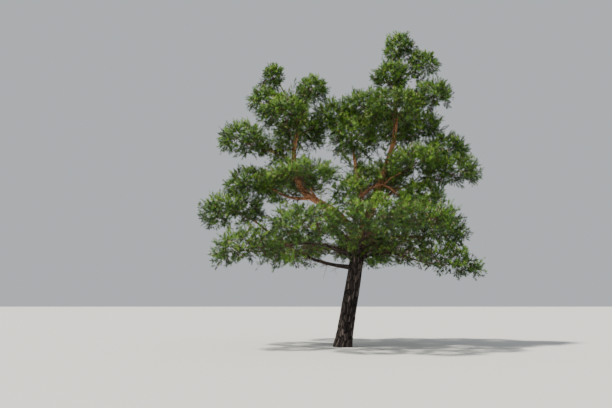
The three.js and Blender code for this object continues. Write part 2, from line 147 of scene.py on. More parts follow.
def spaced(route, shares):
    """The points of a route at shares of its length, and its unit direction at each, from a point
    2 cm behind to one 2 cm ahead."""
    along = distances(route)
    behind, points, ahead = (
        np.stack([np.interp(shares * along[-1] + step, along, part) for part in route.T], 1)
        for step in (-LOOK_AHEAD, 0, LOOK_AHEAD))
    return points, unit(ahead - behind)


def swung(first, second, angle):
    """A direction turned towards another: first times the cosine plus second times the sine."""
    return first * np.cos(angle)[..., None] + second * np.sin(angle)[..., None]


def chance(n):
    """A repeatable number from 0 to 1 for each n: the fraction of a large sine."""
    wave = np.sin(np.asarray(n, float) * CHANCE_RATE + CHANCE_START) * CHANCE_SIZE
    return wave - np.floor(wave)


# %% [markdown]
# Pine bark is thick at the foot, where it splits into long plates with deep cracks between them,
# and thins upwards into papery orange flakes. A crack runs about equally far from two growth
# centres. So the bark is a cell pattern: each cell of a grid wrapped round the limb holds one
# centre, put in it by chance, and the gap between the distances to the nearest centre and to the
# second nearest tells how far a point is from a crack.

# %% Bark cells
COLUMN_KEY, ROW_KEY, SECOND_KEY, NUMBER_KEY = 7.0, 131.0, 0.37, 0.71
CELL_EDGE, CENTRE_ROOM, FAR_OFF = 0.15, 0.7, 9.0
CRACK, SCALE_CRACK, SCALES_ACROSS, SCALE_SEED = 0.24, 0.3, 3, 57
PLATE_SPREAD, SCALE_SPREAD, SCALE_DEPTH = 0.28, 0.5, 0.2


def bark_cells(u, v, columns, seed):
    """For points (u, v) of a grid wrapped round in u after so many columns: the distance to the
    second nearest centre less the distance to the nearest, and the nearest one's own number."""
    nearest, second = np.full(u.shape, FAR_OFF), np.full(u.shape, FAR_OFF)
    number = np.zeros(u.shape)
    for du in (-1, 0, 1):
        for dv in (-1, 0, 1):
            column, row = np.floor(u) + du, np.floor(v) + dv
            key = np.mod(column, columns) * COLUMN_KEY + row * ROW_KEY + seed
            centre_u = column + CELL_EDGE + CENTRE_ROOM * chance(key)
            centre_v = row + CELL_EDGE + CENTRE_ROOM * chance(key + SECOND_KEY)
            gap = np.hypot(u - centre_u, v - centre_v)
            closer = gap < nearest
            second = np.where(closer, nearest, np.minimum(second, gap))
            number = np.where(closer, chance(key + NUMBER_KEY), number)
            nearest = np.where(closer, gap, nearest)
    return second - nearest, number


def smooth_step(values, low, high):
    """0 below low, 1 above high, and an S-shaped rise between them."""
    t = np.clip((values - low) / (high - low), 0, 1)
    return t * t * (3 - 2 * t)


def bark_relief(angle, along, columns, row_height, seed):
    """Plates with cracks between them, each plate split into thin scales by a finer cell pattern.
    Sines bend both grids, so that no crack runs straight. Returns the height from 0 in a crack to
    1 on a plate, and the number of the plate."""
    u = angle / (2 * math.pi) * columns
    v = along / row_height
    u = u + 0.22 * np.sin(2.1 * v + seed) + 0.12 * np.sin(5.3 * v + 2 * seed)
    v = v + 0.3 * np.sin(angle * 3 + seed) + 0.2 * np.sin(angle * 7 + 1.7 * v)
    gap, plate = bark_cells(u, v, columns, seed)
    fine_gap, scale = bark_cells(u * SCALES_ACROSS, v * SCALES_ACROSS, columns * SCALES_ACROSS,
                                 seed + SCALE_SEED)
    height = smooth_step(gap, 0.0, CRACK) * (1 - PLATE_SPREAD + PLATE_SPREAD * plate)
    scales = smooth_step(fine_gap, 0.0, SCALE_CRACK) * (1 - SCALE_SPREAD + SCALE_SPREAD * scale)
    return height * (1 - SCALE_DEPTH + SCALE_DEPTH * scales), plate


# %% [markdown]
# A limb is a tube: at each step along its centreline lies a ring of points, at the limb's radius
# plus the bark's relief. Both ends close in one point. One fixed direction as the reference for
# all the rings of a limb stops the tube from twisting.

# %% Limbs
BARK_MIDDLE = 0.55


def tube_faces(rings, sides):
    """Quads between neighbouring rings, and triangles from the end rings to the two end points,
    which come after the rings' points. All of them face outwards."""
    ring = np.arange(rings - 1)[:, None] * sides
    k = np.arange(sides)[None, :]
    after = (k + 1) % sides
    quads = np.stack([ring + k, ring + after, ring + sides + after, ring + sides + k], -1)
    k, after, top = k[0], after[0], (rings - 1) * sides
    foot = np.stack([after, k, np.full(sides, rings * sides)], -1)
    head = np.stack([top + k, top + after, np.full(sides, rings * sides + 1)], -1)
    return [quads.reshape(-1, 4), np.vstack([foot, head])]


def bark_limb(name, route, radius_at, reference, sides, rings, depths, columns, row_height, seed,
              replaced, slot="flaky_bark", gather=1.0, level_foot=0.0):
    """A tube whose radius is radius_at(share, angle, height) plus the bark times its depth, which
    is read off between heights. The bark lies about as much outside that radius as inside it."""
    shares = (np.arange(rings) / (rings - 1)) ** gather
    centres, heading = spaced(route, shares)
    side = unit(np.cross(heading, np.asarray(reference, float)))
    other = np.cross(heading, side)
    angle = (np.arange(sides) / sides * 2 * math.pi)[None, :] * np.ones((rings, 1))
    along = (shares * distances(route)[-1])[:, None] * np.ones((1, sides))
    bark, plate = bark_relief(angle, along, columns, row_height, seed)
    height = centres[:, 2:3] * np.ones((1, sides))
    radius = radius_at(shares[:, None], angle, height)
    radius = radius + np.interp(height, *depths) * (bark - BARK_MIDDLE)
    out = swung(side[:, None], other[:, None], angle)
    points = centres[:, None, :] + out * radius[..., None]
    if level_foot:
        level = np.clip((centres[:, 2] - centres[0, 2]) / level_foot, 0, 1)[:, None]
        points[..., 2] = centres[:, 2:3] + (points[..., 2] - centres[:, 2:3]) * level
    ends = np.stack([points[0].mean(0), points[-1].mean(0)])
    points = np.vstack([points.reshape(-1, 3), ends])
    extra = {"bark": np.append(bark.ravel(), [0, 1]), "plate": np.append(plate.ravel(), [0, 0])}
    piece_of(name, points, tube_faces(rings, sides), BARKS[slot], slot, replaced, True, extra)


# %% [markdown]
# Bark colour goes with bark age. Plates are grey brown with paler, weathered tops, and higher up
# the outer bark has flaked off to a thin orange layer. From the tops of the plates down into the
# cracks the colour darkens to almost black. That is partly the bark's own darker cracks and partly
# painted shade in the cracks. The orange flakes likewise get paler towards their crests, partly as
# painted highlight. The height of the bark and the number of its plate are kept on each point of
# the mesh, so that colours stay in the cracks and on the plates that the shape has. A little Noise
# on Object coordinates breaks up what the mesh is too coarse to show.

# %% Material helpers
def new_material(name, roughness, specular):
    """A Principled material with those constants, its node tree and its shader."""
    material = bpy.data.materials.new(name)
    material.use_nodes = True
    tree = material.node_tree
    shader = tree.nodes["Principled BSDF"]
    shader.inputs["Roughness"].default_value = roughness
    shader.inputs["Specular IOR Level"].default_value = specular
    return material, tree, shader


def feed(tree, value, socket):
    """Links an input to another node's output, or sets it to a plain value."""
    if isinstance(value, bpy.types.NodeSocket):
        tree.links.new(value, socket)
    else:
        socket.default_value = value


def add_node(tree, kind, *values, **named):
    """A node with its first inputs fed in order, and other inputs and properties by name."""
    node = tree.nodes.new(kind)
    for key, value in named.items():
        if key in node.inputs:
            feed(tree, value, node.inputs[key])
        else:
            setattr(node, key, value)
    for socket, value in zip(node.inputs, values):
        feed(tree, value, socket)
    return node


def ramp_of(tree, source, stops):
    """A Color Ramp on a value: stops are (position, red, green, blue)."""
    ramp = add_node(tree, "ShaderNodeValToRGB", source)
    while len(ramp.color_ramp.elements) < len(stops):
        ramp.color_ramp.elements.new(0.5)
    for element, (position, *colour) in zip(ramp.color_ramp.elements, stops):
        element.position = position
        element.color = (*colour, 1)
    return ramp.outputs["Color"]


def mixed(tree, share, first, second, blend="MIX"):
    """A Mix node between two colours by a share."""
    mix = add_node(tree, "ShaderNodeMix", data_type="RGBA", blend_type=blend)
    for index, value in ((0, share), (6, first), (7, second)):
        feed(tree, value, mix.inputs[index])
    return mix.outputs[2]


def ranged(tree, value, low, high, to_low=0.0, to_high=1.0):
    """A Map Range node from low and high to two other values, held between them."""
    return add_node(tree, "ShaderNodeMapRange", value, low, high, to_low, to_high).outputs[0]


# %% Bark material
WAVER, GRAIN_BUMP = 2.4, 0.006


def bark_material(name, roughness, orange_from, orange_to):
    """Grey plates turn to orange flakes between two heights, and Noise makes that border waver."""
    material, tree, shader = new_material(name, roughness, 0.2)
    place = add_node(tree, "ShaderNodeTexCoord").outputs["Object"]
    bark, plate = (add_node(tree, "ShaderNodeAttribute", attribute_name=key).outputs["Fac"]
                   for key in ("bark", "plate"))
    grain = add_node(tree, "ShaderNodeTexNoise", place, Scale=38.0, Detail=6.0,
                     Roughness=0.65).outputs["Fac"]
    cloud = add_node(tree, "ShaderNodeTexNoise", place, Scale=2.6, Detail=3.0).outputs["Fac"]
    flakes = add_node(tree, "ShaderNodeTexVoronoi", place, Scale=34.0,
                      Randomness=0.9).outputs["Distance"]
    # Almost black in the cracks to pale grey on the plate tops: partly the bark's colour, partly
    # painted shade in the cracks.
    old = ramp_of(tree, bark, [(0.0, 0.006, 0.005, 0.005), (0.35, 0.017, 0.014, 0.013),
                               (0.7, 0.038, 0.032, 0.030), (1.0, 0.105, 0.092, 0.086)])
    old_tint = ramp_of(tree, plate, [(0.0, 0.42, 0.40, 0.42), (0.5, 0.85, 0.78, 0.76),
                                     (0.8, 1.25, 1.14, 1.08), (1.0, 2.1, 1.9, 1.85)])
    old = mixed(tree, 1.0, old, old_tint, "MULTIPLY")
    # Dark red brown in the cracks to pale crests: partly the bark's colour, partly painted shade in
    # the cracks and painted highlight on the crests.
    young = ramp_of(tree, bark, [(0.0, 0.07, 0.032, 0.018), (0.3, 0.24, 0.105, 0.048),
                                 (0.65, 0.46, 0.22, 0.11), (1.0, 0.62, 0.38, 0.23)])
    young_tint = ramp_of(tree, plate, [(0.0, 0.62, 0.55, 0.5), (0.45, 1.0, 0.95, 0.9),
                                       (1.0, 1.12, 1.08, 1.05)])
    young = mixed(tree, 1.0, young, young_tint, "MULTIPLY")
    height = add_node(tree, "ShaderNodeSeparateXYZ", place).outputs["Z"]
    waver = add_node(tree, "ShaderNodeMath", cloud, WAVER, height, operation="MULTIPLY_ADD")
    age = ranged(tree, waver.outputs[0], orange_from + WAVER / 2, orange_to + WAVER / 2)
    speck = ramp_of(tree, grain, [(0.3, 0.72, 0.72, 0.72), (0.5, 1.0, 1.0, 1.0),
                                  (0.72, 1.22, 1.18, 1.12)])
    colour = mixed(tree, 1.0, mixed(tree, age, old, young), speck, "MULTIPLY")
    rise = add_node(tree, "ShaderNodeMath", grain, flakes, operation="ADD").outputs[0]
    bump = add_node(tree, "ShaderNodeBump", Strength=0.7, Distance=GRAIN_BUMP, Height=rise)
    feed(tree, colour, shader.inputs["Base Color"])
    feed(tree, ranged(tree, bark, 0.0, 1.0, 0.98, 0.78), shader.inputs["Roughness"])
    feed(tree, bump.outputs["Normal"], shader.inputs["Normal"])
    return material


BARKS = {"plated_bark": bark_material("plated bark", 0.95, 3.2, 5.6),
         "flaky_bark": bark_material("flaky bark", 0.85, 4.0, 5.4)}
print(" and ".join(BARKS))

# %% [markdown]
# The trunk leans, tapers and swells towards the ground, and goes right through the crown to the
# right-hand top. Two leaders leave it: one reaches far to the left before it turns up, and one
# stands between. The bends and radii are those of the solids, in metres.

# %% Stems
STEMS = {
    "trunk": ([(-0.02, 0, -0.12), (0.18, 0, 1.1), (0.4, 0, 2.3), (0.65, 0, 3.7),
               (1.18, 0.04, 5.2), (1.99, 0.04, 7.6), (2.1, 0, 9.3), (2.25, -0.02, 10.7)],
              [0.288, 0.27, 0.256, 0.225, 0.14, 0.085, 0.052, 0.024]),
    "left_leader": ([(0.6, 0, 3.85), (-0.15, -0.06, 4.75), (-1.45, -0.09, 5.65),
                     (-1.76, -0.04, 6.9), (-1.64, 0, 8.2), (-2.12, 0.02, 9.35)],
                    [0.145, 0.128, 0.11, 0.085, 0.056, 0.022]),
    "middle_leader": ([(0.76, -0.04, 4.25), (0.67, -0.27, 5.3), (0.51, -0.33, 6.4),
                       (0.38, -0.33, 7.35)],
                      [0.105, 0.088, 0.058, 0.024]),
}
ROUTES = {name: smooth_route(bends) for name, (bends, _) in STEMS.items()}


def stem_radius(name):
    """The radius of a stem at a share of its length, straight between the radii at its bends."""
    along = distances(ROUTES[name])
    at_bends = along[::SAMPLES_PER_BEND] / along[-1]
    return lambda share: np.interp(share, at_bends, STEMS[name][1])


for name, route in ROUTES.items():
    print(f"{name}: {distances(route)[-1]:.2f} m long")

# %% [markdown]
# A trunk swells at the foot, where its main roots start. The swelling is a share of its radius that
# dies away upwards and is larger on five lobes. The curve starts below the ground, so that part of
# it is left out, and the lowest rings are made level. The bark's cracks are 30 mm deep at the foot
# and 3 mm above the fork.

# %% Trunk
FLARE_SHARE, FLARE_HEIGHT, FLARE_LOBES, LOBE_DEPTH = 0.2, 0.35, 5, 0.45
TRUNK_BARK = [0, 2.2, 4.4, 6.0], [0.030, 0.026, 0.010, 0.003]
trunk_along = distances(ROUTES["trunk"])
GROUND_SHARE = np.interp(0, ROUTES["trunk"][:, 2], trunk_along) / trunk_along[-1]


def trunk_radius(share, angle, height):
    """The stem's radius, swollen near the ground into five lobes that die away upwards."""
    lobes = 1 + LOBE_DEPTH * np.cos(FLARE_LOBES * angle)
    flare = 1 + FLARE_SHARE * lobes * np.exp(-np.maximum(height, 0) / FLARE_HEIGHT)
    return stem_radius("trunk")(GROUND_SHARE + (1 - GROUND_SHARE) * share) * flare


trunk_route, _ = spaced(ROUTES["trunk"], np.linspace(GROUND_SHARE, 1, 400))
bark_limb("trunk_bark", trunk_route, trunk_radius, (0, 1, 0), sides=156, rings=600,
          depths=TRUNK_BARK, columns=27, row_height=0.30, seed=3, replaced=["trunk"],
          slot="plated_bark", gather=1.3, level_foot=0.35)

# %% [markdown]
# The leaders are plain round tubes, because so high up the bark is thin and only flakes.

# %% Leaders
LEADERS = [("left_leader", 72, 400, 11, ["left_leader_foot", "left_leader"]),
           ("middle_leader", 64, 200, 9, ["middle_leader"])]
LEADER_BARK = [4.0, 5.5, 8.0], [0.010, 0.006, 0.002]

for name, sides, rings, columns, replaced in LEADERS:
    radius = stem_radius(name)
    bark_limb(f"{name}_bark", ROUTES[name], lambda share, angle, height: radius(share), (0, 1, 0),
              sides, rings, LEADER_BARK, columns, row_height=0.11, seed=11, replaced=replaced)

# %% [markdown]
# Each pad of foliage is a flattened ellipsoid on a bough or a stem. The table is that of the
# solids: the stem, the height where the wood leaves it, the direction and distance of the pad's
# middle, its height, its half-sizes, and the bough's radius and arch. A low pad dips outwards and
# a high one rises, as boughs do with age and weight.

# %% Pads
PAD_ROWS = """
low_left trunk 2.78 178 4.52 4.9 1.3 1.5 0.74 0.074 -0.1
low_left_front trunk 3.15 203 4.22 3.4 1.3 1.15 0.72 0.064 0.12
low_front_left trunk 3.5 237 3.5 4.05 1.3 1.4 0.78 0.062 0.1
low_front trunk 3.2 276 3.5 4.25 1.25 1.25 0.75 0.066 0.08
low_front_right trunk 3.65 311 3.0 4.3 1.25 1.2 0.75 0.06 0.1
low_right_front trunk 3.05 343 3.22 3 1.35 1.1 0.58 0.06 0.12
low_right trunk 3.45 8 3.02 4.15 1.25 1.3 0.85 0.07 0.08
low_back_right trunk 3 48 3.35 3.7 1.3 1.3 0.7 0.062 0.12
low_back trunk 3.3 82 3.2 3.8 1.2 1.25 0.75 0.06 0.12
low_back_left trunk 2.95 128 3.7 3.7 1.4 1.35 0.7 0.064 0.12
mid_left_out left_leader 5.35 183 2.26 5.85 0.95 1.1 0.66 0.07 -0.12
mid_left_front left_leader 5.25 252 1.6 5.9 1.15 1.4 0.56 0.052 0.08
mid_left_back left_leader 6.1 105 1.9 6.2 1.25 1.4 0.65 0.054 0.1
mid_front trunk 4.45 250 1.7 5.3 1.05 0.95 0.54 stalk 0
mid_right_front trunk 5.5 322 1.65 6.55 1.1 1.05 0.52 0.046 0.1
mid_right trunk 5 0 2.95 6.35 1.25 1.15 0.68 0.064 0.1
mid_right_low middle_leader 5.3 352 2.2 5.35 0.92 1 0.52 0.066 0.34
mid_back trunk 4.8 75 2.3 6.55 1.3 1.35 0.75 0.06 0.1
middle_crown middle_leader 7.35 80 0.25 7.68 0.92 1 1.12 crown 0
left_arm left_leader 6.65 190 1.9 7.45 1 1.1 0.68 0.048 0.06
left_front left_leader 7.2 250 1 8.3 0.9 1.05 0.7 stalk 0
left_back left_leader 7.3 85 1.5 8.2 1.1 1.2 0.75 stalk 0
left_right left_leader 7.7 12 1.4 8.5 0.95 1 0.76 stalk 0
left_top_right left_leader 8.25 14 0.6 9.55 0.66 0.7 0.62 0.03 0.02
left_shoulder left_leader 8.4 182 1.12 9.05 0.75 0.8 0.58 stalk 0
left_top left_leader 9.35 180 0.46 10 0.45 0.55 0.68 crown 0
right_out trunk 6.5 5 2.3 7.25 0.9 1.05 0.62 0.048 0.08
right_low trunk 7.1 20 1.35 8.15 0.9 1 0.66 stalk 0
right_left trunk 7.9 190 1.2 8.8 0.85 0.95 0.7 stalk 0
right_back trunk 7.6 95 1.5 8.4 1.1 1.2 0.9 stalk 0
right_front trunk 7.7 262 1.1 8.5 0.9 1.1 0.7 stalk 0
right_mid trunk 8.3 355 1.28 9.22 0.98 1 0.6 0.034 0.04
right_arm trunk 9.7 350 1 10.45 0.6 0.62 0.62 stalk 0
right_high trunk 9.25 200 0.22 10.02 0.72 0.95 0.6 stalk 0
right_top trunk 10.7 0 0.02 11.15 0.66 0.64 0.74 crown 0
"""
LEVEL_HEIGHT, TILT_PER_METRE, MOST_DIP, MOST_RISE = 6.3, 4.5, -16, 20
UP = np.array([0.0, 0.0, 1.0])


def pad_of(order, row):
    """A pad as a dict: its wood's start on the stem, its middle, its three half-axes as the rows
    of a matrix, and what its row says."""
    name, on, *numbers = row.split()
    leaves, azimuth, reach, height, *size = (float(word) for word in numbers[:7])
    kind, arch = numbers[7], float(numbers[8])
    turn = math.radians(azimuth)
    out = np.array([math.cos(turn), math.sin(turn), 0.0])
    route = ROUTES[on]
    start = route[np.abs(route[:, 2] - leaves).argmin()]
    middle = start + out * reach
    middle[2] = height
    tilt = math.radians(np.clip((height - LEVEL_HEIGHT) * TILT_PER_METRE, MOST_DIP, MOST_RISE))
    across = np.array([-out[1], out[0], 0.0])
    along = out * math.cos(tilt) + UP * math.sin(tilt)
    axes = np.stack([along, across, np.cross(along, across)]) * np.array(size)[:, None]
    thick = float(kind) if kind not in ("stalk", "crown") else None
    return {"name": name, "order": order, "on": on, "start": start, "middle": middle,
            "axes": axes, "size": np.array(size), "kind": kind, "bough": thick, "arch": arch}


def shares_in(pad, places):
    """Places as shares of a pad's half-axes. A place on its skin has length 1."""
    return (places - pad["middle"]) @ np.linalg.inv(pad["axes"])


def place_in(pad, shares):
    """Shares of a pad's half-axes as places."""
    return pad["middle"] + shares @ pad["axes"]


PADS = [pad_of(order, row) for order, row in enumerate(PAD_ROWS.split("\n")[1:-1])]
print(len(PADS), "pads,", sum(pad["bough"] is not None for pad in PADS), "boughs")

# %% [markdown]
# A bough starts in the middle of its stem, arches over or sags, wanders a little, and ends just
# inside its pad. It tapers all the way, and a collar of wood swells where it leaves the stem.

# %% Boughs
BOUGH_POINTS, CROOK, ENTRY, TIP_SHARE, LEAST_TIP = 5, 0.045, 0.9, 0.4, 0.017
COLLAR, COLLARS_LONG, TAPER, RINGS_PER_METRE, BOUGH_BARK = 0.35, 5, 0.8, 30, ([0], [0.0045])


def bough_route(pad):
    """Five points on the straight run from stem to pad, moved upwards by arch and sideways by
    chance, each times the sine of the share, and a smooth curve through them."""
    inward = unit(shares_in(pad, pad["start"]))
    run = place_in(pad, inward * ENTRY) - pad["start"]
    length = np.linalg.norm(run)
    side = unit(np.cross(run, UP))
    share = np.linspace(0, 1, BOUGH_POINTS)
    bulge = np.sin(math.pi * share) * length
    luck = chance(11 * pad["order"] + 3 + np.arange(BOUGH_POINTS))
    crook = (2 * luck - 1) * CROOK * bulge
    lifted = pad["start"] + run * share[:, None] + UP * (pad["arch"] * bulge)[:, None]
    return smooth_route(lifted + side * crook[:, None])


def bough_tip(pad):
    """The radius at a bough's tip: a share of its foot's, but never hair-thin."""
    return max(LEAST_TIP, pad["bough"] * TIP_SHARE)


def bough_radius(pad):
    """From the foot's radius to the tip's, faster at first, and a collar at the foot."""
    foot, fall = pad["bough"], bough_tip(pad) - pad["bough"]
    return lambda share, angle, height: (
        foot + fall * share**TAPER + COLLAR * foot * np.maximum(0, 1 - share * COLLARS_LONG))


for pad in PADS:
    if pad["bough"]:
        name = pad["name"]
        ROUTES[name] = bough_route(pad)
        rings = int(distances(ROUTES[name])[-1] * RINGS_PER_METRE)
        bark_limb(f"{name}_bough_bark", ROUTES[name], bough_radius(pad), (0, 0, 1), 32, rings,
                  BOUGH_BARK, columns=7, row_height=0.085, seed=5 + pad["order"],
                  replaced=[f"{name}_bough"])

# %% [markdown]
# Inside a pad the wood goes on as a stem that turns along the pad, twigs that leave the stem, and
# finer twigs that each carry one spray. All of them are short bent rods, so one function makes any
# number of them at once. Each lies in its own plane, whose normal is the reference for its rings.

# %% Rods
ASKEW = [0.31, 0.17, 0.93]
THREE_SIDES = np.arange(3) * 2 * math.pi / 3


def bent(start, bend, end, share):
    """Points on quadratic curves: each is drawn from start to end towards its bend."""
    t = np.asarray(share)[..., None]
    return (1 - t) ** 2 * start + 2 * t * (1 - t) * bend + t**2 * end


def rods(start, bend, end, thick, thin, steps):
    """Three-sided tapering rods along quadratic curves, closed at both ends with one face. A
    radius is one number for all or one for each. Returns points and triangles."""
    count = len(start)
    thick, thin = (np.broadcast_to(radius, count)[:, None] for radius in (thick, thin))
    normal = np.cross(bend - start, end - start)
    flat = np.linalg.norm(normal, axis=1) < 1e-6
    normal[flat] = np.cross(end - start, ASKEW)[flat]
    normal = unit(normal)[:, None, None, :]
    share = np.linspace(0, 1, steps + 1)
    centres = bent(start[:, None], bend[:, None], end[:, None], share[None, :])
    t = share[None, :, None]
    heading = unit((1 - t) * (bend - start)[:, None] + t * (end - bend)[:, None])
    out = swung(np.cross(heading[:, :, None, :], normal), normal, THREE_SIDES)
    radius = thick + (thin - thick) * share[None, :]
    points = centres[:, :, None, :] + out * radius[:, :, None, None]
    k, ring = np.arange(3)[None, :], 3 * np.arange(steps)[:, None]
    low, low_next = k + ring, (k + 1) % 3 + ring
    high, high_next = low + 3, low_next + 3
    one = np.concatenate([np.stack([low, high_next, low_next], -1).reshape(-1, 3),
                          np.stack([low, high, high_next], -1).reshape(-1, 3),
                          [[0, 1, 2], [3 * steps + 2, 3 * steps + 1, 3 * steps]]])
    faces = one[None] + (np.arange(count) * 3 * (steps + 1))[:, None, None]
    return points.reshape(-1, 3), faces.reshape(-1, 3)


def spikes(start, end, thick):
    """Three-sided rods that taper to a point, closed at the foot. Returns points and triangles."""
    count = len(start)
    axis = unit(end - start)
    side = unit(np.cross(axis, ASKEW))
    out = swung(side[:, None], np.cross(axis, side)[:, None], THREE_SIDES)
    points = np.concatenate([start[:, None] + out * thick, end[:, None]], 1)
    one = np.array([[0, 1, 3], [1, 2, 3], [2, 0, 3], [0, 2, 1]])
    faces = one[None] + (np.arange(count) * 4)[:, None, None]
    return points.reshape(-1, 3), faces.reshape(-1, 3)


# %% [markdown]
# The stem of a pad bends from its bough's direction to the far side of the pad, as in the solids.
# The solids then have three twigs and ten fans to a pad. Here the same rule gives nine twigs and
# about ten times as many sprays: directions are spread evenly over a ball by the golden angle, and
# each spray leaves the nearest wood for its own place near the skin.

# %% Pad stems and twigs
STEM_REACH, STEM_TIP, STALK = 0.5, 0.009, 0.024
STEM_LEVEL, STEM_RISE, STEM_BEND = 0.3, 0.2, 0.5
TWIGS, TWIG_ROOT, TWIG_TIP, TWIG_REACH, TWIG_SAG = 9, 0.014, 0.007, 0.55, 0.1
TWIG_FIRST, TWIG_LAST, LOWEST_TWIG = 0.2, 0.98, -0.6
GOLDEN_ANGLE = math.pi * (3 - math.sqrt(5))


def even_directions(count, turn, lowest):
    """Directions spread evenly over a ball from its top down to the lowest level: equal steps in
    height, each turned by the golden angle."""
    k = np.arange(count)
    level = 1 - (k + 0.5) / count * (1 - lowest)
    ring = np.sqrt(1 - level**2)
    angle = k * GOLDEN_ANGLE + turn
    return np.stack([ring * np.cos(angle), ring * np.sin(angle), level], 1)


def pad_stem(pad):
    """Start, bend, end and radius of a pad's stem. It goes on from the tip of a bough or a leader,
    or leaves a leader's side towards the pad."""
    if pad["kind"] == "stalk":
        start, heading, thick = pad["start"], unit(pad["middle"] - pad["start"]), STALK
    else:
        route = ROUTES[pad["name"] if pad["bough"] else pad["on"]]
        start, heading = route[-1], unit(route[-1] - route[-3])
        thick = bough_tip(pad) if pad["bough"] else STEMS[pad["on"]][1][-1]
    onward = -unit(shares_in(pad, start))
    onward[2] = STEM_LEVEL * onward[2] + STEM_RISE
    end = place_in(pad, onward * STEM_REACH)
    bend = start + heading * np.linalg.norm(end - start) * STEM_BEND
    return start, bend, end, thick


for pad in PADS:
    pad["turn"] = chance(101 * pad["order"] + 17) * 2 * math.pi
    pad["stem"] = start, bend, end, thick = pad_stem(pad)
    share = np.linspace(TWIG_FIRST, TWIG_LAST, TWIGS)
    feet = bent(start, bend, end, share)
    heads = place_in(pad, even_directions(TWIGS, pad["turn"], LOWEST_TWIG) * TWIG_REACH)
    sag = TWIG_SAG * np.linalg.norm(heads - feet, axis=1)[:, None] * UP
    pad["twigs"] = feet, (feet + heads) / 2 - sag, heads
print(TWIGS * len(PADS), "twigs on", len(PADS), "stems")

# %% [markdown]
# A spray is what one side twig carries: a fan of shoots, spread along the outer part of the twig
# and turned up at their ends towards the light. A pad keeps its sprays near its skin, because
# needles in the dark inside are shed.

# %% Sprays of a pad
SPRAYS_BY_HEIGHT = [3.5, 10.5], [7.0, 11.2]
LOWEST_SPRAY, SPRAY_LUCK, SPRAY_SAG, SHOOT_ROOM = -0.8, 0.08, 0.14, 0.09
DEEP_SHARE, DEEP, NEAR_SKIN, WOOD_DEPTH = 0.24, (0.45, 0.7), (0.86, 1.0), 0.7
ROOM_LEVELS, ON_STEM, ON_TWIG = (-0.6, 0), np.linspace(0.3, 1, 12), np.linspace(0.35, 1, 8)


def skin_area(size):
    """About the area of an ellipsoid, by the 1.6th-power mean of the products of its half-axes."""
    a, b, c = size**1.6
    return 4 * math.pi * ((a * b + b * c + c * a) / 3) ** (1 / 1.6)


def sprays_of(pad, rng):
    """Start, bend and end of each spray's twig, and the level of its direction in the pad. Their
    number is the skin's area times a number that grows with height, because the high pads stand
    alone. About a quarter of them end deep inside, the rest near the skin."""
    count = int(skin_area(pad["size"]) * np.interp(pad["middle"][2], *SPRAYS_BY_HEIGHT))
    luck = rng.normal(0, SPRAY_LUCK, (count, 3))
    direction = unit(even_directions(count, pad["turn"], LOWEST_SPRAY) + luck)
    room = SHOOT_ROOM / pad["size"].mean() ** 2 * smooth_step(direction[:, 2], *ROOM_LEVELS)
    depth = np.where(rng.random(count) < DEEP_SHARE, rng.uniform(*DEEP, count),
                     rng.uniform(*NEAR_SKIN, count) - room)
    tips = place_in(pad, direction * depth[:, None])
    start, bend, end, _ = pad["stem"]
    on_stem = bent(start, bend, end, ON_STEM)
    start, bend, end = (part[:, None] for part in pad["twigs"])
    on_twigs = bent(start, bend, end, ON_TWIG[None])
    places = np.vstack([on_twigs.reshape(-1, 3), on_stem])
    places = places[np.linalg.norm(shares_in(pad, places), axis=1) < WOOD_DEPTH]
    roots = places[np.linalg.norm(tips[:, None] - places[None], axis=2).argmin(1)]
    length = np.linalg.norm(tips - roots, axis=1)[:, None]
    return roots, (roots + tips) / 2 - UP * SPRAY_SAG * length, tips, direction[:, 2]


# %% [markdown]
# Sprays also grow straight from a bough before it reaches its pad, and from the thin upper part of
# the trunk and the leaders. Under the crown the boughs keep dead twigs without needles, which show
# as a dark tangle, so they are made as well.

# %% Sprays and dead twigs along a limb
SIDE_FORWARD, SIDE_LUCK, SIDE_SAG, SIDE_LEVEL = 0.6, 0.3, 0.1, 0.1
DEAD_LENGTHS, DEAD_THICK, DEAD_ARCH, DEAD_FORWARD = (0.35, 0.85), 0.011, 0.08, 0.8
FORKS, FORK_LENGTHS, FORK_THICK = np.array([0.35, 0.55, 0.75, 0.9]), (0.1, 0.3), 0.006
FORK_LUCK, FORK_SAG = 0.8, 0.02


def side_sprays(route, first, last, count, shortest, longest, turn, rise, rng):
    """Sprays straight from a limb, between two shares of its length. Each is turned round it by
    one angle from the one before: half a turn puts them on either side, and the golden angle all
    round. They rise, or hang where rise is negative, and sag in the middle."""
    feet, heading = spaced(route, np.linspace(first, last, count))
    side = unit(np.cross(heading, UP) + 1e-6)
    out = swung(side, np.cross(heading, side), np.arange(count) * turn)
    run = out + heading * SIDE_FORWARD + UP * rise + rng.normal(0, SIDE_LUCK, (count, 3))
    length = rng.uniform(shortest, longest, (count, 1))
    tips = feet + unit(run) * length
    bends = (feet + tips) / 2 - UP * SIDE_SAG * length
    return feet, bends, tips, np.full(count, SIDE_LEVEL)


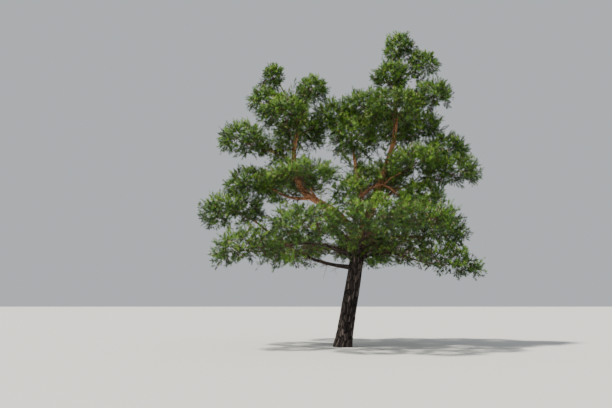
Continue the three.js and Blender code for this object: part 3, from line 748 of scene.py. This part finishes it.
def bare_twigs(route, first, last, count, rng):
    """Leafless twigs. Each leaves the bough sideways, arches a little, and carries four short side
    twigs. Returns points and triangles."""
    feet, heading = spaced(route, np.sort(rng.uniform(first, last, count)))
    side = unit(np.cross(heading, UP) + 1e-6) * rng.choice([-1, 1], (count, 1))
    run = side + heading * DEAD_FORWARD + rng.normal(0, SIDE_LUCK, (count, 3))
    length = rng.uniform(*DEAD_LENGTHS, (count, 1))
    tips = feet + unit(run) * length
    bends = (feet + tips) / 2 + UP * DEAD_ARCH * length
    forks = bent(feet[:, None], bends[:, None], tips[:, None], FORKS)
    turned = unit(run[:, None] + rng.normal(0, FORK_LUCK, forks.shape))
    offs = turned * rng.uniform(*FORK_LENGTHS, (*forks.shape[:2], 1))
    forks, offs = forks.reshape(-1, 3), offs.reshape(-1, 3)
    starts, ends = np.vstack([feet, forks]), np.vstack([tips, forks + offs])
    middles = np.vstack([bends, forks + offs / 2 - UP * FORK_SAG])
    thick = np.append(np.full(count, DEAD_THICK), np.full(len(forks), FORK_THICK))
    return rods(starts, middles, ends, thick, thick / 2, 2)


# %% [markdown]
# Each shoot is a thin stalk that tapers to a point. The shoots leave a spray's twig to the left and
# to the right in turn, as a conifer branches in the shade of its own crown.

# %% Shoots
SHOOTS, FIRST_SHOOT, FOOT_LUCK, SHOOT_LENGTHS = 14, 0.3, 0.03, (0.09, 0.24)
FAN_SPREAD, FAN_START, FAN_LUCK = math.radians(66), 1.05, 0.25
LIFT, LIFT_BY_LEVEL, LIFT_LUCK = 0.2, 0.3, 0.45


def shoots_of(roots, bends, tips, level, rng):
    """Foot and tip of each shoot, spray by spray. Its angle to the spray's twig closes towards the
    twig's tip. It turns up, most of all on top of a pad."""
    count = len(roots)
    j = np.arange(SHOOTS)
    share = FIRST_SHOOT + (1 - FIRST_SHOOT) * j / (SHOOTS - 1)
    share = np.clip(share + rng.normal(0, FOOT_LUCK, (count, SHOOTS)), 0, 1)
    feet = bent(roots[:, None], bends[:, None], tips[:, None], share)
    t = share[..., None]
    heading = unit((1 - t) * (bends - roots)[:, None] + t * (tips - bends)[:, None])
    side = unit(np.cross(heading, UP) + rng.normal(0, FAN_LUCK, (count, 1, 3)))
    sign = np.where(j % 2, 1, -1)[None, :]
    open_angle = FAN_SPREAD * (FAN_START - j / (SHOOTS - 1))[None, :] * sign
    open_angle = open_angle + rng.normal(0, FAN_LUCK, (count, SHOOTS))
    lift = LIFT + LIFT_BY_LEVEL * level[:, None] + rng.normal(0, LIFT_LUCK, (count, SHOOTS))
    run = swung(heading, side, open_angle) + UP * lift[..., None]
    length = rng.uniform(*SHOOT_LENGTHS, (count, SHOOTS))
    return feet, feet + unit(run) * length[..., None]


# %% [markdown]
# Round the end of each shoot the needles make a rounded tuft, as a pine sheds its needles after two
# or three years. A real tuft has a hundred needles or more, one or two millimetres wide. That would
# be far too heavy, so each needle here stands for several: one pointed triangle, about 8 cm long
# and 13 mm wide at the foot. The tufts themselves keep their real size.

# %% Needles
NEEDLES, NEEDLE_LENGTH, NEEDLE_WIDTH, LENGTH_SHARES = 17, 0.078, 0.013, (0.75, 1.15)
TUFT_SHARE, TUFT_BACK, TUFT_TIP, PLACE_LUCK, LEAN_LUCK = 0.4, 105, 15, 0.02, 0.15


def needles_on(feet, ends, rng):
    """Pointed triangles round the last part of each shoot. Each stands at the golden angle from
    the one before it. Its angle to the shoot falls evenly from the back of the tuft to its tip."""
    count = len(feet)
    axis = unit(ends - feet)
    side = unit(np.cross(axis, rng.normal(0, 1, (count, 3))))
    side, other, axis = side[:, None], np.cross(axis, side)[:, None], axis[:, None]
    k = np.arange(NEEDLES)
    place = ((k + 0.5) / NEEDLES)[None, :]
    along = 1 - TUFT_SHARE * (1 - place) + rng.normal(0, PLACE_LUCK, (count, NEEDLES))
    angle = k[None, :] * GOLDEN_ANGLE + rng.uniform(0, 6.28, (count, 1))
    lean = np.radians(TUFT_BACK + (TUFT_TIP - TUFT_BACK) * place)
    lean = lean + rng.normal(0, LEAN_LUCK, (count, NEEDLES))
    edge = swung(other, -side, angle)
    run = swung(axis, swung(side, other, angle), lean)
    root = feet[:, None] + (ends - feet)[:, None] * along[..., None]
    length = NEEDLE_LENGTH * rng.uniform(*LENGTH_SHARES, (count, NEEDLES))[..., None]
    half = edge * NEEDLE_WIDTH / 2
    points = np.stack([root - half, root + half, root + run * length], 2)
    return points.reshape(-1, 3)


# %% [markdown]
# Needles are darker the older they are. Five plain greens are dealt out by spray: lighter ones on
# top of a pad and in the upper pads, darker ones underneath. That is painted light and painted
# shade, the lit tops and the shaded undersides of the pads, and on the tops partly also the paler
# new growth. The shoots of a spray differ a little by chance. A plain colour is enough, because
# light and shadow vary from needle to needle anyway.

# %% Needle colours
# From deep to young and lit, these greens serve as painted shade and painted light as well as the
# needles' own varied tone.
NEEDLE_COLOURS = {
    "needle_deep": (0.013, 0.040, 0.006),
    "needle_dark": (0.031, 0.086, 0.010),
    "needle_mid": (0.068, 0.166, 0.016),
    "needle_light": (0.124, 0.262, 0.023),
    "needle_young_and_lit": (0.222, 0.388, 0.038),
}


def plain_material(name, colour, roughness, specular):
    """A material of one colour, without any pattern."""
    material, _, shader = new_material(name, roughness, specular)
    shader.inputs["Base Color"].default_value = (*colour, 1)
    return material


NEEDLE_MATERIALS = [plain_material(name, colour, 0.5, 0.35)
                    for name, colour in NEEDLE_COLOURS.items()]
TWIG_BARK = plain_material("twig_bark", (0.10, 0.060, 0.038), 0.85, 0.2)
CANDLE = plain_material("candle", (0.72, 0.50, 0.34), 0.6, 0.25)
print(len(NEEDLE_MATERIALS), "greens")

# %% [markdown]
# The needles of neighbouring pads are joined, in pieces that aren't too heavy: each region takes so
# many of the next pads in the table. The other tables say where foliage departs from the plain
# rule. The trunk, the leaders and one bough carry some sprays all round: the range along the limb
# as shares of its length, and their number. Two boughs stay bare for longer, because the photograph
# shows their wood. Three carry more hanging sprays, with their least and greatest length in metres.

# %% Where the foliage grows
REGIONS = {"low_front": 4, "low_right": 4, "middle_left": 5, "middle_right": 6, "left_head": 7,
           "right_head": 5, "right_top": 4}
STEM_SPRAYS = [
    ("low_front", "trunk", 0.26, 0.38, 14),
    ("middle_crown", "middle_leader", 0.2, 0.97, 38),
    ("mid_back", "trunk", 0.48, 0.62, 16),
    ("mid_right_front", "trunk", 0.62, 0.70, 7),
    ("right_low", "trunk", 0.70, 0.80, 14),
    ("right_mid", "trunk", 0.80, 0.95, 20),
    ("left_front", "left_leader", 0.72, 0.95, 18),
    ("left_arm", "left_arm", 0.1, 0.75, 18),
    ("left_right", "left_leader", 0.5, 0.74, 18),
    ("left_top_right", "left_leader", 0.84, 0.95, 14),
]
BARE_BOUGHS = {"mid_left_out": 0.75, "mid_right_low": 0.9}
HANGING = {
    "low_right_front": (0.08, 0.45, 10, 0.4, 0.7),
    "low_left_front": (0.6, 1.0, 10, 0.7, 1.1),
    "mid_left_out": (0.5, 0.95, 9, 0.4, 0.75),
}
print(len(REGIONS), "regions with", sum(REGIONS.values()), "pads")

# %% [markdown]
# The photograph shows three limbs through gaps in the foliage: the left leader, the bough that goes
# on to the left from it, and the arched bough in the middle. A gap belongs to the point that the
# tree is seen from, so it follows the line from there to the limb: a shoot that ends near that line
# is left out. On the underside most shoots are left out by chance, because little light gets there,
# and so they are where the crown is open above the left leader's foot. One lone sprig low beside
# the trunk goes too. Each thin place is a ball: its middle, its radius and the share of the shoots
# that stay.

# %% Gaps in the foliage
SIGHTS = [("mid_right_low", 0.12, 0.85, 0.20), ("left_leader", 0.34, 0.47, 0.20),
          ("mid_left_out", 0.1, 0.5, 0.16)]
THIN_PLACES = [(2.6, -0.9, 3.4, 0.9, 0.3), (2.9, 0.7, 3.4, 0.9, 0.3), (2.3, -2.2, 3.4, 0.7, 0.3),
               (-0.9, -0.9, 3.5, 0.8, 0.42), (-1.0, 0.9, 3.4, 0.9, 0.42),
               (-0.6, -1.4, 5.4, 0.42, 0.1), (-0.05, -1.1, 5.5, 0.45, 0.1),
               (-0.65, 0.45, 2.55, 0.45, 0.0)]
LINES = [(point - np.array(EYE), radius) for name, first, last, radius in SIGHTS
         for point in spaced(ROUTES[name], np.linspace(first, last, 9))[0]]


def grows(ends, rng):
    """False for a shoot that ends in front of the limb and nearer to a line of sight than its
    radius, and by chance for most shoots in the thin places."""
    kept = np.ones(ends.shape[:-1], bool)
    for line, radius in LINES:
        share = (ends - EYE) @ line / (line @ line)
        off = np.linalg.norm(ends - EYE - share[..., None] * line, axis=-1)
        kept &= (off > radius) | (share > 1.0)
    luck = rng.random(kept.shape)
    for *centre, radius, share in THIN_PLACES:
        kept &= (np.linalg.norm(ends - centre, axis=-1) > radius) | (luck < share)
    return kept


print(len(LINES), "lines of sight and", len(THIN_PLACES), "thin places")

# %% [markdown]
# Now each pad grows: its stem and twigs, its sprays with those along its bough or stem, the shoots
# of all these sprays, and a tuft on each shoot. The wood is kept in one list for the whole tree.

# %% Grow one pad
SPRAY_THICK, SPRAY_THIN, SHOOT_THICK = 0.008, 0.004, 0.005
BOUGH_SPRAYS = {"last": 0.97, "count": 12, "shortest": 0.5, "longest": 0.95, "rise": 0.35}
UNDER_SPRAYS = {"first": 0.25, "last": 0.9, "count": 8, "shortest": 0.4, "longest": 0.75,
                "rise": -0.7}
STEM_SHORTEST, STEM_LONGEST, STEM_SPRAY_RISE, HANGING_RISE = 0.35, 0.85, 0.2, -0.9
BARE_FIRST, BARE_LAST, LOW_BARE_TWIGS, HIGH_BARE_TWIGS = 0.08, 0.85, 32, 12
# A pad's greens get lighter with its height and towards its top. This is painted light and painted
# shade, and on top partly also paler new growth. The rest of the tone is chance.
TONE, GROWTH_AND_LIGHT_BY_LEVEL, SPRAY_TONE_LUCK, SHOOT_TONE_LUCK = 1.6, 1.4, 0.65, 0.9
PAINTED_LIGHT_BY_HEIGHT, PAD_SEED = ([4.6, 5.6], [0, 0.5]), 700
wood, lit_shoots = [], []


def sprays_near(pad, rng):
    """All the sprays that belong to a pad, and the pad's own wood and dead twigs on the way."""
    start, bend, end, thick = (np.array([part]) for part in pad["stem"])
    wood.append(rods(start, bend, end, thick, STEM_TIP, steps=6))
    wood.append(rods(*pad["twigs"], TWIG_ROOT, TWIG_TIP, steps=4))
    low, route = pad["name"].startswith("low"), ROUTES.get(pad["name"])
    sprays = [sprays_of(pad, rng)]
    if pad["bough"]:
        first = BARE_BOUGHS.get(pad["name"], 0.3)
        sprays.append(side_sprays(route, first, **BOUGH_SPRAYS, turn=math.pi, rng=rng))
        count = LOW_BARE_TWIGS if low else HIGH_BARE_TWIGS
        wood.append(bare_twigs(route, BARE_FIRST, BARE_LAST, count, rng))
    if low:
        sprays.append(side_sprays(route, **UNDER_SPRAYS, turn=math.pi, rng=rng))
    if pad["name"] in HANGING:
        sprays.append(side_sprays(route, *HANGING[pad["name"]], math.pi, HANGING_RISE, rng))
    sprays += [side_sprays(ROUTES[on], *span, STEM_SHORTEST, STEM_LONGEST, GOLDEN_ANGLE,
                           STEM_SPRAY_RISE, rng)
               for name, on, *span in STEM_SPRAYS if name == pad["name"]]
    return [np.concatenate(part) for part in zip(*sprays)]


def grown(pad):
    """The needles of a pad as points, three to a needle, and the colour number of each needle."""
    rng = np.random.default_rng(PAD_SEED + pad["order"])
    roots, bends, tips, level = sprays_near(pad, rng)
    count = len(roots)
    wood.append(rods(roots, bends, tips, SPRAY_THICK, SPRAY_THIN, steps=2))
    feet, ends = shoots_of(roots, bends, tips, level, rng)
    # Painted light and shade: lighter greens high up and on top of a pad, darker ones underneath.
    tone = TONE + np.interp(pad["middle"][2], *PAINTED_LIGHT_BY_HEIGHT) + GROWTH_AND_LIGHT_BY_LEVEL * level
    tone = tone + rng.normal(0, SPRAY_TONE_LUCK, count)
    tone = np.round(tone[:, None] + rng.normal(0, SHOOT_TONE_LUCK, (count, SHOOTS)))
    tone = np.clip(tone, 0, len(NEEDLE_MATERIALS) - 1).astype(np.int32)
    kept = grows(ends, rng)
    feet, ends, tone = feet[kept], ends[kept], tone[kept]
    wood.append(spikes(feet, ends, SHOOT_THICK))
    lit_shoots.append(np.concatenate([feet, ends], 1)[tone > 1])
    return needles_on(feet, ends, rng), np.repeat(tone, NEEDLES)


# %% [markdown]
# The needles of a region become one piece with all five greens, where a number on each face says
# which green it has. The piece takes the place of its pads' solids.

# %% Grow the needles of each region
pads = iter(PADS)
for region, count in REGIONS.items():
    own = [next(pads) for _ in range(count)]
    blades, tones = zip(*map(grown, own))
    points = np.vstack(blades)
    replaced = [f"{pad['name']}_foliage" for pad in own]
    piece = piece_of(f"needles_{region}", points, np.arange(len(points)).reshape(-1, 3),
                     NEEDLE_MATERIALS, "needles", replaced, smooth=False)
    piece.data.polygons.foreach_set("material_index", np.concatenate(tones))

# %% [markdown]
# All the fine wood has the same bark, so it is joined as well, in two pieces that meet at one
# height, because one would be too heavy.

# %% Join the twigs
CUT_HEIGHT = 6.2
before = np.cumsum([0] + [len(points) for points, _ in wood])
points = np.vstack([points for points, _ in wood])
faces = np.vstack([faces + first for (_, faces), first in zip(wood, before)])
low = points[faces[:, 0], 2] < CUT_HEIGHT
for name, chosen in (("twigs_low", low), ("twigs_high", ~low)):
    used, numbered = np.unique(faces[chosen], return_inverse=True)
    piece_of(name, points[used], numbered.reshape(-1, 3), TWIG_BARK, "flaky_bark", smooth=False)

# %% [markdown]
# In spring a pine puts out candles, the pale new shoots that stand up from the lit tufts. They are
# the small warm specks all over the crown. Each is one spike that turns upwards.

# %% Candles
CANDLE_SHARE, CANDLE_THICK, CANDLE_LENGTHS, SUNK, CANDLE_SEED = 0.13, 0.01, (0.05, 0.1), 0.01, 99
rng = np.random.default_rng(CANDLE_SEED)
lit = np.vstack(lit_shoots)
lit = lit[rng.random(len(lit)) < CANDLE_SHARE]
feet, ends = lit[:, :3], lit[:, 3:]
heading = unit(ends - feet)
tips = ends + unit(heading + UP) * rng.uniform(*CANDLE_LENGTHS, (len(ends), 1))
piece_of("candles", *spikes(ends - heading * SUNK, tips, CANDLE_THICK), CANDLE, "needles")
print(len(lit), "candles")

# %% [markdown]
# The stage: a pale floor, pale light from all round, and one soft lamp high on the left, because
# the light comes from there in the photograph.

# %% Stage and light
FLOOR_SIZE, ROUND_STRENGTH, LAMP_STRENGTH = 300, 0.6, 6.5
LAMP_WIDTH, LAMP_TURN, LAMP_TILT = (math.radians(angle) for angle in (4, 12, -28))

bpy.ops.mesh.primitive_plane_add(size=FLOOR_SIZE)
floor = bpy.context.object
floor.name = "floor"
floor.data.materials.append(plain_material("floor", (0.62, 0.62, 0.60), 0.9, 0.1))

world = bpy.data.worlds.new("studio")
world.use_nodes = True
around = world.node_tree.nodes["Background"]
around.inputs["Color"].default_value = (0.86, 0.90, 0.95, 1)
around.inputs["Strength"].default_value = ROUND_STRENGTH
bpy.context.scene.world = world

lamp_data = bpy.data.lights.new("key", "SUN")
lamp_data.energy = LAMP_STRENGTH
lamp_data.angle = LAMP_WIDTH
lamp_data.color = (1.0, 0.95, 0.86)
lamp = bpy.data.objects.new("key", lamp_data)
lamp.rotation_euler = (LAMP_TURN, LAMP_TILT, 0)
bpy.context.scene.collection.objects.link(lamp)
print("a floor and a lamp")
